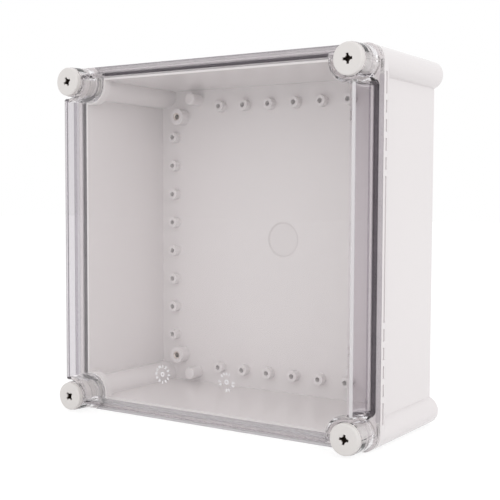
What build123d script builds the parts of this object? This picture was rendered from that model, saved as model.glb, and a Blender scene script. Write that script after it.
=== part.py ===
from build123d import *
from math import cos, radians, tan
import os

# Clear-lidded wall enclosure, in millimetres.
# It is drawn lying on its back: x to the right, y up the wall, z from the wall towards the room.
# It is stood upright at the end, with the lid facing -Y and the origin under its centre.

# overall sizes
outer_size = 276.0
screw_inset = 13.0
base_height = 99.0
lid_height = 26.6
head_proud = 1.4

# tub
wall = 3.0
wall_inset = 7.0
floor_thickness = 3.5
rim_height = 6.6
column_radius = 10.6
column_wall = 3.2
rim_lip = 1.3
edge_round = 0.5

# captive screw
head_radius = 11.0
head_thickness = 4.0
head_round = 1.2
barrel_radius = 9.2
barrel_end_depth = 15.0
sleeve_radius = 7.3
sleeve_length = 23.0
shank_radius = 3.8
shank_length = 28.0
shank_tip = 1.5
thread_radius = 4.5
thread_pitch = 3.0
thread_turns = 4
cross_span = 7.2
cross_width = 2.0
cross_depth = 5.0
cross_hub_radius = 2.2
dish_radius = 3.8
dish_depth = 0.4
cross_turns = {"top_left": 24.0, "top_right": 4.0, "bottom_left": 43.0, "bottom_right": -8.0}

# ring that keeps each screw in the lid
retainer_radius = 8.3
retainer_thickness = 2.0
groove_radius = 6.0
groove_foot = 1.0

# clearances
running_gap = 0.3
lid_gap = 0.3
chamber_end_gap = 1.2

# wall fixing through each column
fixing_hole_radius = 3.25
fixing_web = 12.0

# seal between lid and tub
seal_inset = 6.0
seal_width = 4.7
seal_groove_depth = 4.5
seal_height = 3.2
seal_side_gap = 0.15
seal_land = 1.25
seal_turn_round = 0.65
tongue_width = 2.4

# lid
flange_height = 6.0
lid_wall = 3.0
lid_face_inset = 8.9
lid_face_round = 0.8
lid_corner_round = 1.8
draft_angle = 14.0
collar_wall = 2.0
collar_spread = 1.0
recess_gap = 2.4

# accessory slots in the outside of the rim
slot_height = 1.8
slot_depth = 2.0
slot_drop = 3.0
short_slot_length = 8.4
short_slot_count = 4
slot_rib = 4.3
end_slot_length = 15.0
end_slot_inset = 18.4

# equipment bosses on the floor
boss_pitch = 25.0
boss_row_inset = 15.5
boss_radius = 4.7
boss_height = 6.5
boss_hole_radius = 2.05
boss_hole_depth = 6.0
boss_round = 0.4

# mounting plate posts with metal inserts, and plain rest pegs
plate_post_inset = 23.0
plate_post_radius = 7.0
plate_post_height = 10.0
insert_radius = 3.4
insert_bore_radius = 2.1
insert_length = 8.0
insert_drop = 0.5
insert_mouth = 0.4
peg_inset = 8.5
peg_side_inset = 39.7
peg_radius = 5.2
peg_height = 13.6
peg_round = 1.5

# moulding mark in the middle of the floor
gate_mark_radius = 14.5
gate_mark_depth = 0.3

# levels above the wall
half = outer_size / 2
screw_at = half - screw_inset
lid_face_z = base_height + lid_height
overall_depth = lid_face_z + head_proud
flange_top_z = base_height + flange_height
rim_foot_z = base_height - rim_height
groove_floor_z = base_height - seal_groove_depth
head_foot_z = overall_depth - head_thickness
barrel_end_z = overall_depth - barrel_end_depth
shelf_z = barrel_end_z - running_gap
sleeve_end_z = barrel_end_z - sleeve_length
retainer_z = sleeve_end_z + groove_foot + running_gap
shank_end_z = sleeve_end_z - shank_length
chamber_floor_z = sleeve_end_z - chamber_end_gap
insert_top_z = floor_thickness + plate_post_height - insert_drop

# widths that follow from the fits
wall_half = half - wall_inset
inner_half = wall_half - wall
boss_row_at = inner_half - boss_row_inset
plate_post_at = inner_half - plate_post_inset
peg_x = inner_half - peg_side_inset
peg_y = inner_half - peg_inset
column_at = half - column_radius
chamber_radius = retainer_radius + running_gap
inner_column_radius = chamber_radius + column_wall
seal_half = half - seal_inset
seal_arc = chamber_radius + seal_land + seal_width / 2
thread_bore_radius = thread_radius + running_gap
collar_bore = barrel_radius + running_gap
corners = {"top_left": (-1, 1), "top_right": (1, 1), "bottom_left": (-1, -1), "bottom_right": (1, -1)}


def stand(shape):
    """Turn a shape from lying on its back to standing with its lid facing -Y."""
    return Pos(0, overall_depth / 2, half) * Rot(90, 0, 0) * shape


def rod(radius, foot, top, place=(0, 0)):
    """Round bar along z between two levels."""
    length = top - foot
    return Pos(place[0], place[1], foot + length / 2) * Cylinder(radius, length)


def block(width, height, foot, top, place=(0, 0)):
    """Square bar along z between two levels."""
    length = top - foot
    return Pos(place[0], place[1], foot + length / 2) * Box(width, height, length)


def at_corners(shape, distance):
    """The same shape at the four corners of a square."""
    return [Pos(x, y, 0) * shape for x in (-distance, distance) for y in (-distance, distance)]


def rounded_square(reach, radius, foot, top):
    """Prism of a square with round corners."""
    outline = RectangleRounded(2 * reach, 2 * reach, radius)
    return Pos(0, 0, foot) * extrude(outline, top - foot)


def notched_square(reach, arc, turn):
    """Square whose corners are cut away round the four screws, with the edges' turns rounded."""
    shape = Rectangle(2 * reach, 2 * reach)
    edge = screw_at - arc
    cut = reach - edge
    middle = edge + cut / 2
    beyond = reach - screw_at
    for sx in (-1, 1):
        for sy in (-1, 1):
            shape -= Pos(sx * middle, sy * (screw_at + beyond / 2)) * Rectangle(cut, beyond)
            shape -= Pos(sx * (screw_at + beyond / 2), sy * middle) * Rectangle(beyond, cut)
            shape -= Pos(sx * screw_at, sy * screw_at) * Circle(arc)
    turns = []
    for point in shape.vertices():
        near, far = sorted((abs(point.X), abs(point.Y)))
        if abs(far - reach) < 1e-4 and abs(near - edge) < 1e-4:
            turns.append(point)
    return fillet(turns, turn)


def seal_outline(side):
    """Outline that runs beside the seal's path, outside it or, with a minus, inside it."""
    turn = seal_turn_round + seal_width / 2
    return notched_square(seal_half + side, seal_arc - side, turn + side)


def seal_ring(width, foot, top):
    """Band of a given width that follows the seal's path."""
    band = seal_outline(width / 2) - seal_outline(-width / 2)
    return Pos(0, 0, foot) * extrude(band, top - foot)


def drafted_body(inset, foot, top):
    """Body of the lid, drawn in by an inset and leaning inwards towards its face."""
    lean = (lid_face_z - foot) * tan(radians(draft_angle))
    taper_in = (top - foot) * tan(radians(draft_angle))
    reach = half - lid_face_inset + lean - inset
    arc = head_radius + recess_gap - lean + inset
    ledge = reach - taper_in - screw_at
    outline = notched_square(reach, arc, min(lid_corner_round, ledge / 2) + taper_in)
    return Pos(0, 0, foot) * extrude(outline, top - foot, taper=draft_angle)


def rim_slots():
    """Slots along one side of the rim as (middle, length), from the ends to the long centre one."""
    places = []
    end = half - end_slot_inset
    for length in [end_slot_length] + [short_slot_length] * short_slot_count:
        places.append((end - length / 2, length))
        places.append((length / 2 - end, length))
        end -= length + slot_rib
    return places + [(0, 2 * end)]


def boss_row(free_half):
    """Places along a row of bosses that keeps clear of what ends it, evenly about the middle."""
    count = 2 * int((free_half - boss_radius) / boss_pitch + 0.5)
    return [(number - (count - 1) / 2) * boss_pitch for number in range(count)]


def boss_places():
    """Places of the small equipment bosses round the floor."""
    places = []
    for side in (-boss_row_at, boss_row_at):
        places += [(side, along) for along in boss_row(plate_post_at - plate_post_radius)]
        places += [(along, side) for along in boss_row(peg_x - peg_radius)]
    return places


def make_tub():
    """Opaque moulding: floor, walls, corner columns, rim, seal groove, bosses and pegs."""
    tub = rounded_square(half, column_radius, rim_foot_z, base_height)
    tub += block(2 * wall_half, 2 * wall_half, 0, base_height)
    tub += at_corners(rod(column_radius, 0, base_height), column_at)
    tub = fillet(tub.faces().sort_by(Axis.Z)[0].edges(), edge_round)

    hollow = block(2 * inner_half, 2 * inner_half, floor_thickness, base_height)
    hollow -= at_corners(rod(inner_column_radius, 0, base_height), screw_at)
    lip_radius = seal_arc + seal_width / 2 + rim_lip
    hollow -= at_corners(rod(lip_radius, rim_foot_z, base_height), screw_at)
    tub -= hollow
    tub -= seal_ring(seal_width, groove_floor_z, base_height)

    bore = rod(chamber_radius, chamber_floor_z, base_height)
    bore += rod(thread_bore_radius, fixing_web, chamber_floor_z)
    bore += rod(fixing_hole_radius, 0, fixing_web)
    tub -= at_corners(bore, screw_at)

    slot_z = base_height - slot_drop - slot_height
    for offset, length in rim_slots():
        tub -= block(length, slot_depth, slot_z, slot_z + slot_height, (offset, half - slot_depth / 2))
        tub -= block(length, slot_depth, slot_z, slot_z + slot_height, (offset, slot_depth / 2 - half))
        tub -= block(slot_depth, length, slot_z, slot_z + slot_height, (half - slot_depth / 2, offset))
        tub -= block(slot_depth, length, slot_z, slot_z + slot_height, (slot_depth / 2 - half, offset))

    tub += floor_fittings()
    tub -= rod(gate_mark_radius, floor_thickness - gate_mark_depth, floor_thickness)
    return tub


def floor_fittings():
    """Bosses, plate posts and pegs that stand on the tub's floor."""
    boss = rod(boss_radius, floor_thickness, floor_thickness + boss_height)
    boss = fillet(boss.edges().sort_by(Axis.Z)[-1], boss_round)
    boss_top = floor_thickness + boss_height
    boss -= rod(boss_hole_radius, boss_top - boss_hole_depth, boss_top)
    fittings = [Pos(x, y, 0) * boss for x, y in boss_places()]

    post_top = floor_thickness + plate_post_height
    post = rod(plate_post_radius, floor_thickness, post_top)
    post = fillet(post.edges().sort_by(Axis.Z)[-1], boss_round)
    post -= rod(insert_radius, insert_top_z - insert_length, post_top)
    fittings += at_corners(post, plate_post_at)

    peg = rod(peg_radius, floor_thickness, floor_thickness + peg_height)
    peg = fillet(peg.edges().sort_by(Axis.Z)[-1], peg_round)
    fittings += [Pos(x, y, 0) * peg for x in (-peg_x, peg_x) for y in (-peg_y, peg_y)]
    return fittings


def make_insert():
    """Threaded metal insert of a plate post, on its own axis."""
    foot = insert_top_z - insert_length
    insert = rod(insert_radius, foot, insert_top_z) - rod(insert_bore_radius, foot, insert_top_z)
    mouth = insert.faces().sort_by(Axis.Z)[-1].edges().sort_by(SortBy.RADIUS)[0]
    return chamfer(mouth, insert_mouth)


def make_gasket():
    """Soft seal lying in the rim's groove."""
    return seal_ring(seal_width - 2 * seal_side_gap, groove_floor_z, groove_floor_z + seal_height)


def make_lid():
    """Clear lid: drafted shell, flange, seal tongue and a collar round each screw."""
    shell = drafted_body(0, flange_top_z, lid_face_z)
    shell = fillet(shell.faces().sort_by(Axis.Z)[-1].edges(), lid_face_round)
    flange = rounded_square(half, column_radius, base_height, flange_top_z)
    flange = fillet(flange.faces().sort_by(Axis.Z)[-1].edges(), edge_round)
    collar_top = head_foot_z - lid_gap
    collar_height = collar_top - flange_top_z
    collar_radius = collar_bore + collar_wall
    collar = Cone(collar_radius + collar_spread, collar_radius, collar_height)
    collar = Pos(0, 0, flange_top_z + collar_height / 2) * collar
    lid = shell + flange + at_corners(collar, screw_at)

    lid -= Pos(0, 0, base_height) * extrude(seal_outline(-seal_width / 2), flange_height)
    lid -= drafted_body(lid_wall / cos(radians(draft_angle)), flange_top_z, lid_face_z - lid_wall)

    bore = rod(collar_bore, shelf_z, lid_face_z + head_proud)
    bore += rod(sleeve_radius + running_gap, base_height, shelf_z)
    bore += rod(chamber_radius, base_height, flange_top_z)
    lid -= at_corners(bore, screw_at)
    tongue_foot = groove_floor_z + seal_height + lid_gap
    return lid + seal_ring(tongue_width, tongue_foot, base_height)


def make_shank():
    """Screw's shank, turned from its profile, with the thread as a row of ridges at its end."""
    tip_top = shank_end_z + shank_tip
    profile = [(0, shank_end_z), (shank_radius - shank_tip, shank_end_z), (shank_radius, tip_top)]
    for number in range(thread_turns):
        ridge_foot = tip_top + number * thread_pitch
        profile.append((thread_radius, ridge_foot + thread_pitch / 2))
        profile.append((shank_radius, ridge_foot + thread_pitch))
    profile.append((shank_radius, sleeve_end_z))
    profile.append((0, sleeve_end_z))
    return revolve(Plane.XZ * make_face(Polyline(profile, close=True)), Axis.Z)


def make_screw(turn):
    """Captive lid screw on its own axis, with its cross recess turned by an angle."""
    head = rod(head_radius, head_foot_z, overall_depth)
    head = fillet(head.edges().sort_by(Axis.Z)[-1], head_round)
    screw = head + rod(barrel_radius, barrel_end_z, head_foot_z)
    screw += rod(sleeve_radius, sleeve_end_z, barrel_end_z)
    screw += make_shank()
    neck_top = retainer_z + retainer_thickness + running_gap
    neck = rod(sleeve_radius, retainer_z - running_gap, neck_top)
    screw -= neck - rod(groove_radius, retainer_z - running_gap, neck_top)
    dish = Cone(cross_hub_radius, dish_radius, dish_depth)
    screw -= Pos(0, 0, overall_depth - dish_depth / 2) * dish
    screw -= rod(cross_hub_radius, overall_depth - cross_depth, overall_depth)
    arm = block(cross_span, cross_width, overall_depth - cross_depth, overall_depth)
    screw -= Rot(0, 0, turn) * arm
    return screw - Rot(0, 0, turn + 90) * arm


def make_retainer():
    """Ring in the screw's neck, too wide to pass the lid's shelf."""
    ring = rod(retainer_radius, retainer_z, retainer_z + retainer_thickness)
    return ring - rod(groove_radius + running_gap, retainer_z, retainer_z + retainer_thickness)


def save(name, shape):
    """Write one sub-part, stood upright in its place."""
    export_step(stand(shape), f"parts/{name}.step")


os.makedirs("parts", exist_ok=True)
save("base_tub", make_tub())
save("lid", make_lid())
save("lid_gasket", make_gasket())
for corner, (side_x, side_y) in corners.items():
    screw_place = Pos(side_x * screw_at, side_y * screw_at, 0)
    save(f"lid_screw_{corner}", screw_place * make_screw(cross_turns[corner]))
    save(f"screw_retainer_{corner}", screw_place * make_retainer())
    post_place = Pos(side_x * plate_post_at, side_y * plate_post_at, 0)
    save(f"plate_insert_{corner}", post_place * make_insert())
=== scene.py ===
# %% [markdown]
# A wall enclosure with a clear lid, dressed for a studio photograph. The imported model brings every
# moulding, screw and seal at its real size, so nothing here moves or reshapes one of them. This
# script adds the camera, the finishes, the two moulded date dials inside the lid, a white table
# and the light.

# %% Frame
from math import cos, pi, radians, sin

import bmesh
import bpy
from mathutils import Matrix, Vector


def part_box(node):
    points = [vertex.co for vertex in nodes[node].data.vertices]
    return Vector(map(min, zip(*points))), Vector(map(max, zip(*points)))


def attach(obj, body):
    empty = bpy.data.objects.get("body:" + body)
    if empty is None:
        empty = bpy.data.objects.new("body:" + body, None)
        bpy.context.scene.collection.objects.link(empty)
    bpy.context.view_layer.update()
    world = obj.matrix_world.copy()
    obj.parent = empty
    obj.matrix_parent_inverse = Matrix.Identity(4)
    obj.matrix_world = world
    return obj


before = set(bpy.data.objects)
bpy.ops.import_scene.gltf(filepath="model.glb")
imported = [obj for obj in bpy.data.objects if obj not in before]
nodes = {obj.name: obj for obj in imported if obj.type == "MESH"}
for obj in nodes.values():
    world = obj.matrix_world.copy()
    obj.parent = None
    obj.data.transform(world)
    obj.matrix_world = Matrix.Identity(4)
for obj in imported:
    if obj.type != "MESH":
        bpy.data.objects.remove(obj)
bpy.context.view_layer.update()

# %% [markdown]
# The photograph was taken from the right of the lid and a little above its middle, with a lens of
# about twice the normal length, so the sides converge only gently. A camera can be placed by eye,
# but then the bosses and screws never quite meet the picture. This one was worked out from the
# places of the screws, the floor bosses and the corner columns. The picture's centre lies a
# little off the lens axis, which a small shift of the camera repeats.

# %% Camera
PICTURE_SIDE = 500
FILM_WIDTH = 36
FOCAL_PIXELS = 960.7
LENS_AXIS_PIXEL = (276.7, 255.1)
EYE = Vector((0.4250, -0.6161, 0.1726))
EYE_AZIMUTH = radians(32.588)
EYE_ELEVATION = radians(3.404)
EYE_ROLL = radians(0.3115)

camera_data = bpy.data.cameras.new("camera")
camera_data.sensor_width = FILM_WIDTH
camera_data.lens = FOCAL_PIXELS * FILM_WIDTH / PICTURE_SIDE
camera_data.shift_x = 0.5 - LENS_AXIS_PIXEL[0] / PICTURE_SIDE
camera_data.shift_y = LENS_AXIS_PIXEL[1] / PICTURE_SIDE - 0.5
camera = bpy.data.objects.new("camera", camera_data)
turn = Matrix.Rotation(EYE_AZIMUTH, 4, "Z") @ Matrix.Rotation(pi / 2 - EYE_ELEVATION, 4, "X")
camera.matrix_world = Matrix.Translation(EYE) @ turn @ Matrix.Rotation(EYE_ROLL, 4, "Z")
bpy.context.scene.collection.objects.link(camera)
bpy.context.scene.camera = camera
print("lens:", round(camera_data.lens, 1), "mm")

# %% [markdown]
# A finish is a graph of nodes. It can be wired by hand in the editor, but sums are easier to read
# as arithmetic. A `Wire` stands for one output socket, and a sum, product or power of wires adds
# the Math nodes for it. `above` makes a soft-edged mask, which most finishes below are drawn with.


# %% Wires
class Wire:
    """One output socket that can be used in sums and products."""

    def __init__(self, finish, socket):
        self.finish = finish
        self.socket = socket

    def math(self, operation, *values, clamp=False):
        settings = {"operation": operation, "use_clamp": clamp}
        return self.finish.node("ShaderNodeMath", settings, dict(enumerate(values)))

    def __add__(self, other):
        return self.math("ADD", self, other)

    __radd__ = __add__

    def __sub__(self, other):
        return self.math("SUBTRACT", self, other)

    def __rsub__(self, other):
        return self.math("SUBTRACT", other, self)

    def __mul__(self, other):
        return self.math("MULTIPLY", self, other)

    __rmul__ = __mul__

    def __truediv__(self, other):
        return self.math("DIVIDE", self, other)

    def __pow__(self, other):
        return self.math("POWER", self, other)

    def above(self, level, blur):
        """A mask that rises from 0 to 1 as the value passes a level."""
        ramp = (self - (level - blur / 2)) / blur
        return ramp.math("ADD", ramp, 0, clamp=True)

    def bigger(self, other):
        return self.math("MAXIMUM", self, other)

    def size(self):
        """The value without its sign."""
        return self.math("ABSOLUTE", self)


# %% [markdown]
# A `Finish` holds the nodes of one material, or of the world. Its `node` method adds any node, sets
# its settings first, because they decide which sockets it has, and then fills the sockets with
# numbers or wires. The other methods are short names for nodes that several finishes need.


# %% Finishes
def rgba(colour):
    """A colour of three numbers gets an alpha of one."""
    return colour if isinstance(colour, Wire) else (*colour, 1.0)


def find_socket(sockets, key):
    """A socket by its identifier, or else by its name or number."""
    return next((socket for socket in sockets if socket.identifier == key), None) or sockets[key]


class Finish:
    """A graph of nodes that belongs to a material or a world."""

    def __init__(self, owner):
        self.owner = owner
        owner.use_nodes = True
        self.tree = owner.node_tree
        self.tree.nodes.clear()

    def node(self, kind, settings=None, inputs=None, output=0):
        """Adds a node, sets it up, fills its sockets and returns one of its outputs."""
        made = self.tree.nodes.new(kind)
        for key, value in (settings or {}).items():
            setattr(made, key, value)
        for key, value in (inputs or {}).items():
            socket = find_socket(made.inputs, key)
            if isinstance(value, Wire):
                self.tree.links.new(value.socket, socket)
            else:
                socket.default_value = value
        return Wire(self, find_socket(made.outputs, output)) if made.outputs else None

    def place(self):
        """Where a point lies in the shared frame, riding along with its piece."""
        return self.node("ShaderNodeTexCoord", output="Object")

    def along(self, axis):
        """One coordinate of the place."""
        return self.node("ShaderNodeSeparateXYZ", None, {0: self.place()}, axis)

    def from_line(self, x, z):
        """How far a point lies from a line that runs from front to back."""
        operation = "ShaderNodeVectorMath"
        flat = self.node(operation, {"operation": "MULTIPLY"}, {0: self.place(), 1: (1, 0, 1)})
        return self.node(operation, {"operation": "DISTANCE"}, {0: flat, 1: (x, 0, z)}, "Value")

    def noise(self, scale, detail=2.0):
        """Soft random variation between 0 and 1."""
        inputs = {"Vector": self.place(), "Scale": scale, "Detail": detail}
        return self.node("ShaderNodeTexNoise", None, inputs)

    def ray(self, kind):
        """1 where a ray of this kind arrives."""
        return self.node("ShaderNodeLightPath", output=kind)

    def looked_at(self):
        """1 where the camera sees the thing itself, mirrored or through clear plastic."""
        mirrored, through = self.ray("Is Glossy Ray"), self.ray("Is Transmission Ray")
        return self.ray("Is Camera Ray").bigger(mirrored).bigger(through)

    def blend(self, factor, first, second):
        """A colour between two colours."""
        inputs = {"Factor_Float": factor, "A_Color": rgba(first), "B_Color": rgba(second)}
        return self.node("ShaderNodeMix", {"data_type": "RGBA"}, inputs, "Result_Color")

    def bump(self, height, distance):
        return self.node("ShaderNodeBump", None, {"Height": height, "Distance": distance})

    def surface(self, **inputs):
        """The Principled shader, with its sockets named by words."""
        named = {key.replace("_", " "): value for key, value in inputs.items()}
        return self.node("ShaderNodeBsdfPrincipled", None, named)

    def clear(self, tint):
        """A shader that lets rays pass straight and tints them."""
        return self.node("ShaderNodeBsdfTransparent", None, {"Color": rgba(tint)})

    def over(self, factor, first, second):
        """A shader between two shaders."""
        return self.node("ShaderNodeMixShader", None, {0: factor, 1: first, 2: second})

    def finished(self, shader, output="ShaderNodeOutputMaterial"):
        self.node(output, None, {"Surface": shader})
        return self.owner


# %% [markdown]
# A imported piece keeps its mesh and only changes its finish, so dressing it means filling its one
# material slot.


# %% Dressing
def new_finish(name):
    return Finish(bpy.data.materials.new(name))


def dress(material, *names):
    """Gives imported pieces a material."""
    for name in names:
        slots = nodes[name].data.materials
        slots.clear()
        slots.append(material)
    print(material.name, "on", ", ".join(names))


# %% [markdown]
# The tub is moulded from light-grey plastic, smooth and a little glossy: the bosses show as soft
# reflections in the walls beside them. One flat colour would look like paper, so a large faint
# mottle varies both the grey and the gloss. In the middle of the floor the mould's inlet has left
# a round mark, a shallow recess in the solid, and a mask by distance gives it its duller grey and a
# darker edge of painted shade. A Bevel node rounds the sharp edges in the light only, which saves
# a denser mesh.

# %% Tub plastic
TUB_GREY = (0.825, 0.787, 0.790)
TUB_GREY_DEEP = (0.805, 0.765, 0.770)
MOTTLE_SCALE = 9.0
TUB_ROUGHNESS = 0.13
TUB_ROUGHNESS_SPREAD = 0.05
INLET_GREY = (0.70, 0.655, 0.66)
INLET_RADIUS = 0.0145
INLET_RIM = 0.0007
INLET_SHARE = 0.25
# painted shade on the edge of the inlet mark
INLET_RIM_SHADE_SHARE = 0.55
FLOOR_MIDDLE = 0.0617
EDGE_ROUND = 0.0004


def tub_plastic():
    finish = new_finish("tub_plastic")
    mottle = finish.noise(MOTTLE_SCALE, 3.0)
    reach = finish.from_line(0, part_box("base_tub")[1].z / 2)
    inner_side = 1 - finish.along("Y").above(FLOOR_MIDDLE, INLET_RIM)
    inlet = inner_side * (1 - reach.above(INLET_RADIUS, INLET_RIM))
    # painted shade along the edge of the inlet mark
    rim = inlet * reach.above(INLET_RADIUS - 2 * INLET_RIM, INLET_RIM)
    plain = finish.blend(mottle, TUB_GREY, TUB_GREY_DEEP)
    rounded = finish.node("ShaderNodeBevel", {"samples": 4}, {"Radius": EDGE_ROUND})
    return finish.finished(finish.surface(
        Base_Color=finish.blend(INLET_SHARE * inlet + INLET_RIM_SHADE_SHARE * rim, plain, INLET_GREY),
        Roughness=TUB_ROUGHNESS + TUB_ROUGHNESS_SPREAD * mottle,
        IOR=1.5,
        Normal=rounded,
    ))


dress(tub_plastic(), "base_tub")

# %% [markdown]
# The lid is clear polycarbonate. The usual way is one glass-like shader on the whole of it, but a
# renderer follows only so many bends, and then the flange hides the rim and the seal behind it.
# So the lid is divided by place. The masks below are measured from its front face and its middle:
# the pane, the collars round the screws, the upright edges of the face, the outermost rim, the
# lowest run of the flange and the outer run of its upper and lower sides.

# %% Lid regions
PANE_DEPTH = 0.0036
PANE_REACH = 0.1267
FACE_EDGE_DEPTH = 0.0022
FACE_EDGE_REACH = 0.1281
RIM_REACH = 0.1374
LOW_RUN_REACH = 0.1285
OUTER_RUN_REACH = 0.1347
SCREW_REACH = 0.125
COLLAR_RADIUS = 0.0155
SOFT = 0.0004


def lid_regions(finish):
    """Masks of the lid's regions, by name."""
    low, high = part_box("lid")
    depth = finish.along("Y") - low.y
    height = finish.along("Z") - (low.z + high.z) / 2
    across, upward = finish.along("X").size(), height.size()
    outward = across.bigger(upward)
    behind = depth.above(PANE_DEPTH, SOFT)
    from_screw = ((across - SCREW_REACH) ** 2 + (upward - SCREW_REACH) ** 2) ** 0.5
    return {
        "behind": behind,
        "pane": (1 - behind) * (1 - outward.above(PANE_REACH, SOFT)),
        "collar": 1 - from_screw.above(COLLAR_RADIUS, SOFT),
        "face_edge": across.above(FACE_EDGE_REACH, SOFT) * (1 - depth.above(FACE_EDGE_DEPTH, SOFT)),
        "rim": outward.above(RIM_REACH, SOFT),
        "low_run": (0 - height).above(LOW_RUN_REACH, SOFT) * behind,
        "outer_run": upward.above(OUTER_RUN_REACH, SOFT) * behind,
    }


# %% [markdown]
# The pane and the collars truly refract, which moves the inside a little to the left and gives the
# collars their sparkles. On the walls and the flange rays pass straight and are tinted, most at a
# grazing angle, and a mirror shader adds the reflections. `Facing` is 1 where a face is seen edge
# on, and its fifth power rises in the way that real reflections do. Painted shade darkens the
# outermost rim, and a dark dull layer of painted shade covers the outer run of the upper and lower
# sides. A pale dull layer paints a highlight on the upright edges of the face and paints light on
# the low run. Rays that only carry light pass through nearly untouched, so the lid hardly darkens
# the tub.

# %% Lid finish
PANE_TINT = (0.950, 0.945, 0.944)
COLLAR_TINT = (0.92, 0.905, 0.925)
WALL_TINT = (0.905, 0.890, 0.908)
# a tint for grazing angles, also used as painted shade on the outermost rim
GRAZE_AND_RIM_SHADE_TINT = (0.46, 0.44, 0.47)
MIRROR_TINT = (0.66, 0.64, 0.67)
# a pale tint for painted highlight and painted light, then a dark one for painted shade
PAINTED_LIGHT_TINT = (0.72, 0.70, 0.715)
OUTER_RUN_SHADE_TINT = (0.38, 0.365, 0.38)
LIGHT_LOSS = (0.980, 0.976, 0.976)
SQUARE_GLEAM = 0.051
# light on the low run and the painted shade on the outer run
# strengths of the painted shade on the rim, the painted highlight on the face's edges, the painted
RIM_SHADE_SHARE = 0.6
FACE_EDGE_HIGHLIGHT_SHARE = 0.8
LOW_RUN_LIGHT_SHARE = 0.3
OUTER_RUN_SHADE_SHARE = 0.45
DULL = 0.4
CLEAR_IOR = 1.585


def clear_plastic():
    finish = new_finish("clear_plastic")
    region = lid_regions(finish)
    facing = finish.node("ShaderNodeLayerWeight", None, {"Blend": 0.5}, "Facing")
    # darker at grazing angles, with painted shade on the outermost rim
    graze_and_rim_shade = (facing ** 4).bigger(RIM_SHADE_SHARE * region["rim"])
    gleam = SQUARE_GLEAM + (1 - SQUARE_GLEAM) * facing ** 5
    no_collar = 1 - region["collar"]
    # where a painted highlight (face edges) and painted light (low run) go
    painted_light_mask = (FACE_EDGE_HIGHLIGHT_SHARE * region["face_edge"]).bigger(LOW_RUN_LIGHT_SHARE * region["low_run"])

    mirror = finish.surface(Base_Color=rgba(MIRROR_TINT), Metallic=1.0, Roughness=0.0)
    # a pale dull layer for that painted highlight and light
    painted_light = finish.surface(Base_Color=rgba(PAINTED_LIGHT_TINT), Roughness=DULL)
    # a dark dull layer of painted shade
    painted_shade = finish.surface(Base_Color=rgba(OUTER_RUN_SHADE_TINT), Roughness=DULL)
    bent = finish.surface(
        Base_Color=finish.blend(region["behind"], PANE_TINT, COLLAR_TINT),
        Roughness=0.0,
        IOR=CLEAR_IOR,
        Transmission_Weight=1.0,
    )

    seen = finish.over(graze_and_rim_shade, finish.clear(WALL_TINT), finish.clear(GRAZE_AND_RIM_SHADE_TINT))
    seen = finish.over(gleam, seen, mirror)
    seen = finish.over(region["collar"].bigger(region["pane"]), seen, bent)
    # painted highlight and painted light, then painted shade on the outer run
    seen = finish.over(no_collar * painted_light_mask, seen, painted_light)
    seen = finish.over(OUTER_RUN_SHADE_SHARE * no_collar * region["outer_run"], seen, painted_shade)
    carries_light = finish.ray("Is Shadow Ray").bigger(finish.ray("Is Diffuse Ray"))
    return finish.finished(finish.over(carries_light, seen, finish.clear(LIGHT_LOSS)))


dress(clear_plastic(), "lid")

# %% [markdown]
# The seal is a dull dark band of foamed rubber in the rim's groove, seen through the lid. Its pores
# are far too small to model, so a fine noise varies the grey and, as a bump, breaks up what shine
# there is. The lowest run looks paler, and a mask by height gives it a lighter grey: painted light.

# %% Seal
SEAL_GREY = (0.085, 0.073, 0.080)
SEAL_GREY_WORN = (0.125, 0.109, 0.118)
# painted light: a lighter grey for the lowest run, below this height
SEAL_GREY_PAINTED_LIGHT = (0.50, 0.48, 0.495)
PAINTED_LIGHT_LEVEL = 0.018
PAINTED_LIGHT_FADE = 0.016
PORE_SCALE = 1400.0
PORE_DEPTH = 0.00008


def seal_rubber():
    finish = new_finish("seal_rubber")
    pores = finish.noise(PORE_SCALE)
    # painted light on the lowest run
    painted_light_below = 1 - finish.along("Z").above(PAINTED_LIGHT_LEVEL, PAINTED_LIGHT_FADE)
    rubber = finish.blend(pores, SEAL_GREY, SEAL_GREY_WORN)
    return finish.finished(finish.surface(
        Base_Color=finish.blend(painted_light_below, rubber, SEAL_GREY_PAINTED_LIGHT),
        Roughness=0.75,
        Normal=finish.bump(pores, PORE_DEPTH),
    ))


dress(seal_rubber(), "lid_gasket")

# %% [markdown]
# The lid screws are off-white plastic, and their heads have a cross recess. It looks nearly black,
# in deeper shade than the tent's even light would leave it. So painted shade darkens the colour
# with the depth behind the head's face, within the width of the cross. Each screw gets its own
# copy, because the mask is centred on its axis.

# %% Screws
CORNERS = ("top_left", "top_right", "bottom_left", "bottom_right")
SCREW_WHITE = (0.745, 0.716, 0.698)
# painted shade in the cross recess
RECESS_SHADE_COLOUR = (0.030, 0.017, 0.009)
RECESS_RADIUS = 0.0040
RECESS_TOP = 0.0011
RECESS_FADE = 0.0012
RECESS_BOTTOM = 0.0060
RECESS_SOFT = 0.0002
GRAIN_SCALE = 1500.0
GRAIN_DEPTH = 0.00001


def screw_plastic(corner):
    finish = new_finish(f"screw_plastic_{corner}")
    low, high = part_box(f"lid_screw_{corner}")
    axis = (low + high) / 2
    depth = finish.along("Y") - low.y
    # painted shade in the cross recess, growing with depth
    shaded_recess = 1 - finish.from_line(axis.x, axis.z).above(RECESS_RADIUS, RECESS_SOFT)
    shaded_recess = shaded_recess * depth.above(RECESS_TOP, RECESS_FADE)
    shaded_recess = shaded_recess * (1 - depth.above(RECESS_BOTTOM, RECESS_SOFT))
    return finish.finished(finish.surface(
        Base_Color=finish.blend(shaded_recess, SCREW_WHITE, RECESS_SHADE_COLOUR),
        Roughness=0.34 + 0.3 * shaded_recess,
        Normal=finish.bump(finish.noise(GRAIN_SCALE), GRAIN_DEPTH),
    ))


for corner in CORNERS:
    dress(screw_plastic(corner), f"lid_screw_{corner}")

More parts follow.
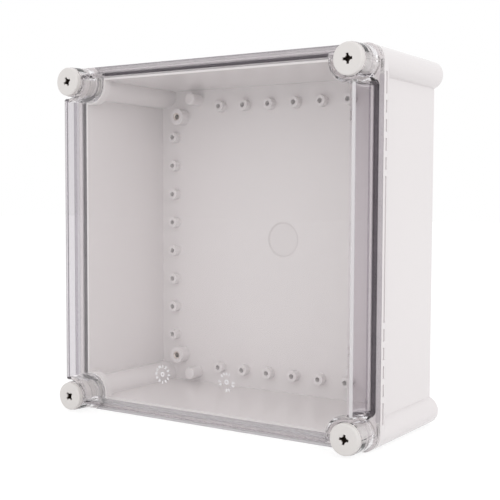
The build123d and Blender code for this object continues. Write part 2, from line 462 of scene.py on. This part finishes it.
# %% [markdown]
# The rings that keep the screws in the lid are pale dull plastic, glimpsed through the collars. The
# inserts in the plate posts are turned brass, pale from the white tent that they mirror. Modelled
# lathe marks would be finer than a pixel, so a noise in the colour, the gloss and the bump does
# for them.

# %% Rings and inserts
RING_GREY = (0.66, 0.66, 0.65)
RING_GREY_DEEP = (0.60, 0.60, 0.59)
RING_MOTTLE_SCALE = 500.0
BRASS = (0.86, 0.78, 0.72)
BRASS_DEEP = (0.76, 0.68, 0.62)
LATHE_SCALE = 2200.0
LATHE_DEPTH = 0.00002


def retainer_plastic():
    finish = new_finish("retainer_plastic")
    mottle = finish.noise(RING_MOTTLE_SCALE)
    colour = finish.blend(mottle, RING_GREY, RING_GREY_DEEP)
    return finish.finished(finish.surface(Base_Color=colour, Roughness=0.5))


def insert_brass():
    finish = new_finish("insert_brass")
    marks = finish.noise(LATHE_SCALE, 3.0)
    return finish.finished(finish.surface(
        Base_Color=finish.blend(marks, BRASS, BRASS_DEEP),
        Metallic=1.0,
        Roughness=0.30 + 0.15 * marks,
        Normal=finish.bump(marks, LATHE_DEPTH),
    ))


dress(retainer_plastic(), *[f"screw_retainer_{corner}" for corner in CORNERS])
dress(insert_brass(), *[f"plate_insert_{corner}" for corner in CORNERS])

# %% [markdown]
# Two date dials stand inside the lid near its lower edge, where stamps in the mould have left a
# ring of small numbers round a small circle. A picture of them would be simpler, but it would lie
# flat and blur when seen closely, so each number is cut from text as a thin solid. Text objects
# are slow to carry about, and so each is turned into a mesh at once.

# %% Dial numbers
DIAL_HEIGHT = 0.00015
NUMBER_SIZE = 0.0028
TWO_DIGIT_SIZE = 0.0022
NUMBER_BOLD = 0.00018


def number_mesh(text):
    """The letters of a number, with a little thickness, as a mesh facing -Y."""
    curve = bpy.data.curves.new("number", "FONT")
    curve.body = text
    curve.size = NUMBER_SIZE if len(text) == 1 else TWO_DIGIT_SIZE
    curve.offset = NUMBER_BOLD
    curve.align_x = "CENTER"
    curve.align_y = "CENTER"
    curve.extrude = DIAL_HEIGHT / 2
    curve.resolution_u = 3
    holder = bpy.data.objects.new("number", curve)
    mesh = bpy.data.meshes.new_from_object(holder)
    mesh.transform(Matrix.Rotation(pi / 2, 4, "X"))
    bpy.data.objects.remove(holder)
    return mesh


# %% [markdown]
# The small circle in each dial's middle is a flat ring. A torus would be round in section, and
# cutting one disc from another needs a Boolean, so the ring is woven straight from four loops of
# points: inner and outer, front and back, joined in turn by square faces.

# %% Dial ring
HUB_RING = (0.0010, 0.0018)
RING_STEPS = 40


def ring(shape, inner, outer, thickness):
    """Adds a flat ring in the XZ plane to a bmesh."""
    half = thickness / 2
    angles = [2 * pi * step / RING_STEPS for step in range(RING_STEPS)]
    loops = [
        [shape.verts.new((radius * cos(angle), y, radius * sin(angle))) for angle in angles]
        for radius, y in ((inner, -half), (outer, -half), (outer, half), (inner, half))]
    for first, second in zip(loops, loops[1:] + loops[:1]):
        for step in range(RING_STEPS):
            after = (step + 1) % RING_STEPS
            shape.faces.new((first[step], first[after], second[after], second[step]))


# %% [markdown]
# The stamped marks scatter light and show white through the clear lid, so their plastic is frosted:
# pale and rough, with a fine grain. Each dial is one mesh on the lid's inner face, sunk slightly
# into it so that no gap shows, and it rides on the lid. The left one has the twelve months, and
# the right one has ten numbers with gaps between their groups.

# %% Date dials
FROST_WHITE = (0.94, 0.93, 0.95)
FROST_WHITE_DEEP = (0.87, 0.86, 0.89)
FROST_SCALE = 3000.0
FROST_DEPTH = 0.00004
LID_WALL = 0.003
DIAL_SINK = 0.00003
NUMBER_RING = 0.0058
MONTH_PLACES = range(12)
YEAR_PLACES = (0, 1, 4, 5, 7, 8, 11, 12, 14, 15)
YEAR_RING = 16


def frosted_plastic():
    finish = new_finish("frosted_plastic")
    frost = finish.noise(FROST_SCALE)
    return finish.finished(finish.surface(
        Base_Color=finish.blend(frost, FROST_WHITE, FROST_WHITE_DEEP),
        Roughness=0.6,
        Normal=finish.bump(frost, FROST_DEPTH),
    ))


def date_dial(name, x, z, first, places, ring_places):
    """Numbers at some places of a ring round a small hub, on the lid's inner face."""
    shape = bmesh.new()
    for index, place in enumerate(places):
        angle = 2 * pi * place / ring_places
        mesh = number_mesh(str(first + index))
        mesh.transform(Matrix.Rotation(angle, 4, "Y") @ Matrix.Translation((0, 0, NUMBER_RING)))
        shape.from_mesh(mesh)
        bpy.data.meshes.remove(mesh)
    ring(shape, *HUB_RING, DIAL_HEIGHT)
    mesh = bpy.data.meshes.new(name)
    shape.to_mesh(mesh)
    shape.free()
    mesh.materials.append(dial_finish)
    dial = bpy.data.objects.new(name, mesh)
    inner_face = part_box("lid")[0].y + LID_WALL
    dial.location = (x, inner_face + DIAL_HEIGHT / 2 - DIAL_SINK, z)
    bpy.context.scene.collection.objects.link(dial)
    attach(dial, "lid")
    print(name, len(mesh.polygons), "faces")


dial_finish = frosted_plastic()
date_dial("date_dial_left", -0.0311, 0.0402, 1, MONTH_PLACES, len(MONTH_PLACES))
date_dial("date_dial_right", 0.0277, 0.0406, 0, YEAR_PLACES, YEAR_RING)

# %% [markdown]
# The enclosure stands on a white table that runs on behind it without an edge. More light would
# turn the paper pure white, but it would bleach the enclosure too. So where the table is looked
# at, it is dark paper with a glow, which adds up to white in full light and leaves the soft
# shadow under the enclosure. Every other ray meets plain white paper.

# %% Table
TABLE_SIZE = 12.0
PAPER_WHITE = (0.86, 0.86, 0.86)
SEEN_PAPER = (0.25, 0.25, 0.25)
SEEN_GLOW = 0.83
PURE_WHITE = (1, 1, 1)


def table_paper():
    finish = new_finish("table_paper")
    paper = finish.node("ShaderNodeBsdfDiffuse", None, {"Color": rgba(PAPER_WHITE)})
    seen_paper = finish.node("ShaderNodeBsdfDiffuse", None, {"Color": rgba(SEEN_PAPER)})
    glow = {"Color": rgba(PURE_WHITE), "Strength": SEEN_GLOW}
    glow = finish.node("ShaderNodeEmission", None, glow)
    white = finish.node("ShaderNodeAddShader", None, {0: seen_paper, 1: glow})
    return finish.finished(finish.over(finish.looked_at(), paper, white))


side = TABLE_SIZE / 2
table_corners = [(-side, -side, 0), (side, -side, 0), (side, side, 0), (-side, side, 0)]
table_mesh = bpy.data.meshes.new("table")
table_mesh.from_pydata(table_corners, [], [range(4)])
table_mesh.materials.append(table_paper())
table = bpy.data.objects.new("table", table_mesh)
bpy.context.scene.collection.objects.link(table)
print("table:", TABLE_SIZE, "m wide")

# %% [markdown]
# Product photographs of pale mouldings are lit by a white tent, so the light is nearly the same
# from all sides and the shadows are faint. The world is that tent. Its light is a little below
# full strength, so that the plastic keeps its grey, and where it is looked at it is pure white.

# %% Tent
TENT_LEVEL = 0.955
BACKDROP_LEVEL = 1.0

world = bpy.data.worlds.new("tent")
bpy.context.scene.world = world
tent = Finish(world)
levels = [
    tent.node("ShaderNodeBackground", None, {"Color": rgba(PURE_WHITE), "Strength": level})
    for level in (TENT_LEVEL, BACKDROP_LEVEL)]
tent.finished(tent.over(tent.looked_at(), *levels), "ShaderNodeOutputWorld")
print("tent level:", TENT_LEVEL)

# %% [markdown]
# A tent alone leaves a moulding flat. Two large area lamps, one from the right and one from the
# front, give its walls a little shape. They are weak and big, because small strong lamps would
# draw hard shadows that the photograph doesn't have.

# %% Lamps
LAMP_TARGET = Vector((0.0, 0.0, 0.139))


def soft_lamp(name, place, size, watts):
    """A square lamp that faces the enclosure."""
    data = bpy.data.lights.new(name, "AREA")
    data.size = size
    data.energy = watts
    lamp = bpy.data.objects.new(name, data)
    lamp.location = place
    lamp.rotation_euler = (LAMP_TARGET - Vector(place)).to_track_quat("-Z", "Y").to_euler()
    bpy.context.scene.collection.objects.link(lamp)
    print(name, watts, "W")


soft_lamp("lamp_right", (1.4, -0.9, 0.7), 1.0, 2.8)
soft_lamp("lamp_front", (0.7, -1.3, 0.9), 0.6, 1.0)

# %% [markdown]
# The picture keeps the plain Standard view, so a colour comes out as it was mixed.

# %% Finish
bpy.context.scene.view_settings.view_transform = "Standard"
